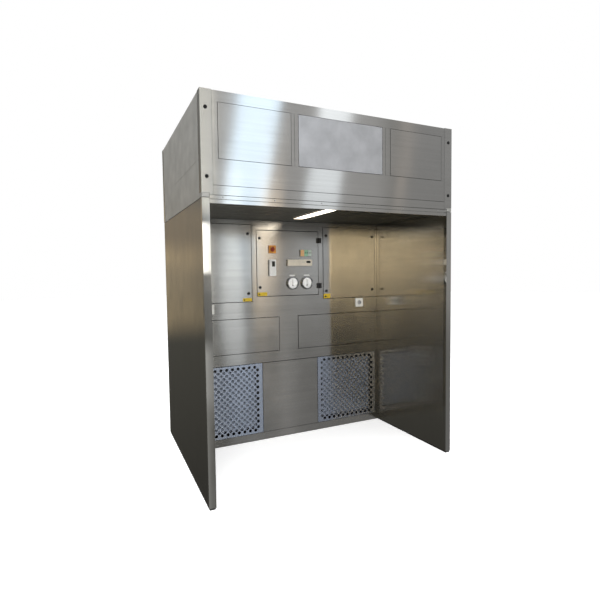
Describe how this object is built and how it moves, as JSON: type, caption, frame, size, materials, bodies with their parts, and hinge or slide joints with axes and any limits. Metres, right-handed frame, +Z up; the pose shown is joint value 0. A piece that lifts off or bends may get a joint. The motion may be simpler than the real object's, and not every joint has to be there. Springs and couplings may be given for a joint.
{
  "type": "downflow containment booth",
  "caption": "Open-fronted stainless steel downflow booth with filter ceiling, light strip, rear fan cabinet, control door and perforated return grilles.",
  "frame": {"origin": "on the floor, in the middle of the footprint", "axes": "+Z up, the open working side faces -Y, +X to the right of someone looking in"},
  "size_m": [2.1, 1.6, 2.74],
  "materials": {
    "brushed_steel": "brushed, grain 320",
    "galvanised": "galvanised sheet",
    "aluminium": "anodised",
    "black_rubber": "matt",
    "black_plastic": "satin",
    "grey_plastic": "satin",
    "white_plastic": "semi-gloss",
    "beige_plastic": "satin",
    "amber_plastic": "semi-gloss",
    "red_plastic": "semi-gloss",
    "green_plastic": "semi-gloss",
    "dark_window": "gloss",
    "dial_white": "printed matt",
    "needle_black": "matt",
    "gauge_case": "satin",
    "filter_pad": "synthetic pad",
    "filter_paper": "pleated glass paper",
    "opal_diffuser": "opal, lit",
    "dark_screen": "matt dark screen",
    "motor_paint": "satin"
  },
  "bodies": {
    "booth": {"left_wall": "brushed_steel", "right_wall": "brushed_steel", "wall_edge_trims": "brushed_steel", "wall_seals": "black_rubber", "header_posts": "brushed_steel", "corner_caps": "grey_plastic", "post_plugs": "black_plastic", "front_fascia": "brushed_steel", "header_panels": "brushed_steel", "header_side_skins": "brushed_steel", "roof_panel": "brushed_steel", "back_panels": "brushed_steel", "canopy_lip": "brushed_steel", "lip_screws": "brushed_steel", "ceiling_frame": "aluminium", "diffuser_screens": "dark_screen", "light_housing": "galvanised", "light_diffuser": "opal_diffuser", "absolute_filter_frames": "aluminium", "absolute_filter_media": "filter_paper", "face_frame": "brushed_steel", "mid_panels": "brushed_steel", "low_centre_panel": "brushed_steel", "base_plinth": "brushed_steel", "cabinet_partitions": "galvanised", "fan_decks": "galvanised", "prefilter_frames": "black_plastic", "prefilter_media": "filter_pad", "fan_mounts": "galvanised", "fan_motors": "motor_paint", "electrical_plate": "galvanised", "electrical_gear": "grey_plastic", "socket_plates": "white_plastic", "socket_inserts": "grey_plastic", "hinge_fixed_leaves": "black_plastic"},
    "control_door": {"control_door": "brushed_steel", "hinge_door_leaves": "black_plastic", "isolator_plate": "amber_plastic", "controller_case": "white_plastic", "display_windows": "dark_window", "button_surround": "grey_plastic", "monitor_case": "beige_plastic", "gauge_cases": "gauge_case", "gauge_dials": "dial_white"},
    "door_lock_lower": {"door_lock_lower": "black_plastic"},
    "door_lock_upper": {"door_lock_upper": "black_plastic"},
    "isolator_knob": {"isolator_knob": "red_plastic"},
    "button_amber": {"button_amber": "amber_plastic"},
    "button_green": {"button_green": "green_plastic"},
    "button_white": {"button_white": "white_plastic"},
    "gauge_needle_left": {"gauge_needle_left": "needle_black"},
    "gauge_needle_right": {"gauge_needle_right": "needle_black"},
    "fan_panel_left": {"fan_panel_left": "brushed_steel", "fan_panel_locks_left": "black_plastic"},
    "fan_panel_right": {"fan_panel_right": "brushed_steel", "fan_panel_locks_right": "black_plastic"},
    "return_grille_left": {"return_grille_left": "brushed_steel"},
    "return_grille_right": {"return_grille_right": "brushed_steel"},
    "fan_wheel_left": {"fan_wheel_left": "aluminium"},
    "fan_wheel_right": {"fan_wheel_right": "aluminium"}
  },
  "joints": [
    {"name": "control_door_hinge", "type": "hinge", "parent": "booth", "child": "control_door", "pos_m": [0.316, 0.19, 1.6535], "axis": [0, 0, 1], "range_deg": [0, 85]},
    {"name": "door_lock_lower_turn", "type": "hinge", "parent": "control_door", "child": "door_lock_lower", "pos_m": [-0.298, 0.198, 1.431], "axis": [0, 1, 0], "range_deg": [0, 90]},
    {"name": "door_lock_upper_turn", "type": "hinge", "parent": "control_door", "child": "door_lock_upper", "pos_m": [-0.298, 0.198, 1.885], "axis": [0, 1, 0], "range_deg": [0, 90]},
    {"name": "isolator_knob_turn", "type": "hinge", "parent": "control_door", "child": "isolator_knob", "pos_m": [-0.175, 0.18, 1.783], "axis": [0, 1, 0], "range_deg": [0, 90]},
    {"name": "button_amber_press", "type": "slide", "parent": "control_door", "child": "button_amber", "axis": [0, 1, 0], "range_m": [0, 0.003], "stiffness_N_per_m": 400},
    {"name": "button_green_press", "type": "slide", "parent": "control_door", "child": "button_green", "axis": [0, 1, 0], "range_m": [0, 0.003], "stiffness_N_per_m": 400},
    {"name": "button_white_press", "type": "slide", "parent": "control_door", "child": "button_white", "axis": [0, 1, 0], "range_m": [0, 0.003], "stiffness_N_per_m": 400},
    {"name": "gauge_needle_left_swing", "type": "hinge", "parent": "control_door", "child": "gauge_needle_left", "pos_m": [0.029, 0.189, 1.443], "axis": [0, 1, 0], "range_deg": [-40, 40], "stiffness_Nm_per_rad": 0.01},
    {"name": "gauge_needle_right_swing", "type": "hinge", "parent": "control_door", "child": "gauge_needle_right", "pos_m": [0.18, 0.189, 1.443], "axis": [0, 1, 0], "range_deg": [-40, 40], "stiffness_Nm_per_rad": 0.01},
    {"name": "fan_panel_left_lift_off", "type": "slide", "parent": "booth", "child": "fan_panel_left", "axis": [0, -1, 0], "range_m": [0, 0.4]},
    {"name": "return_grille_left_lift_off", "type": "slide", "parent": "booth", "child": "return_grille_left", "axis": [0, -1, 0], "range_m": [0, 0.3]},
    {"name": "fan_wheel_left_spin", "type": "hinge", "parent": "booth", "child": "fan_wheel_left", "pos_m": [-0.67, 0.5, 1.4], "axis": [0, 0, 1], "continuous": true},
    {"name": "fan_panel_right_lift_off", "type": "slide", "parent": "booth", "child": "fan_panel_right", "axis": [0, -1, 0], "range_m": [0, 0.4]},
    {"name": "return_grille_right_lift_off", "type": "slide", "parent": "booth", "child": "return_grille_right", "axis": [0, -1, 0], "range_m": [0, 0.3]},
    {"name": "fan_wheel_right_spin", "type": "hinge", "parent": "booth", "child": "fan_wheel_right", "pos_m": [0.67, 0.5, 1.4], "axis": [0, 0, 1], "continuous": true}
  ]
}
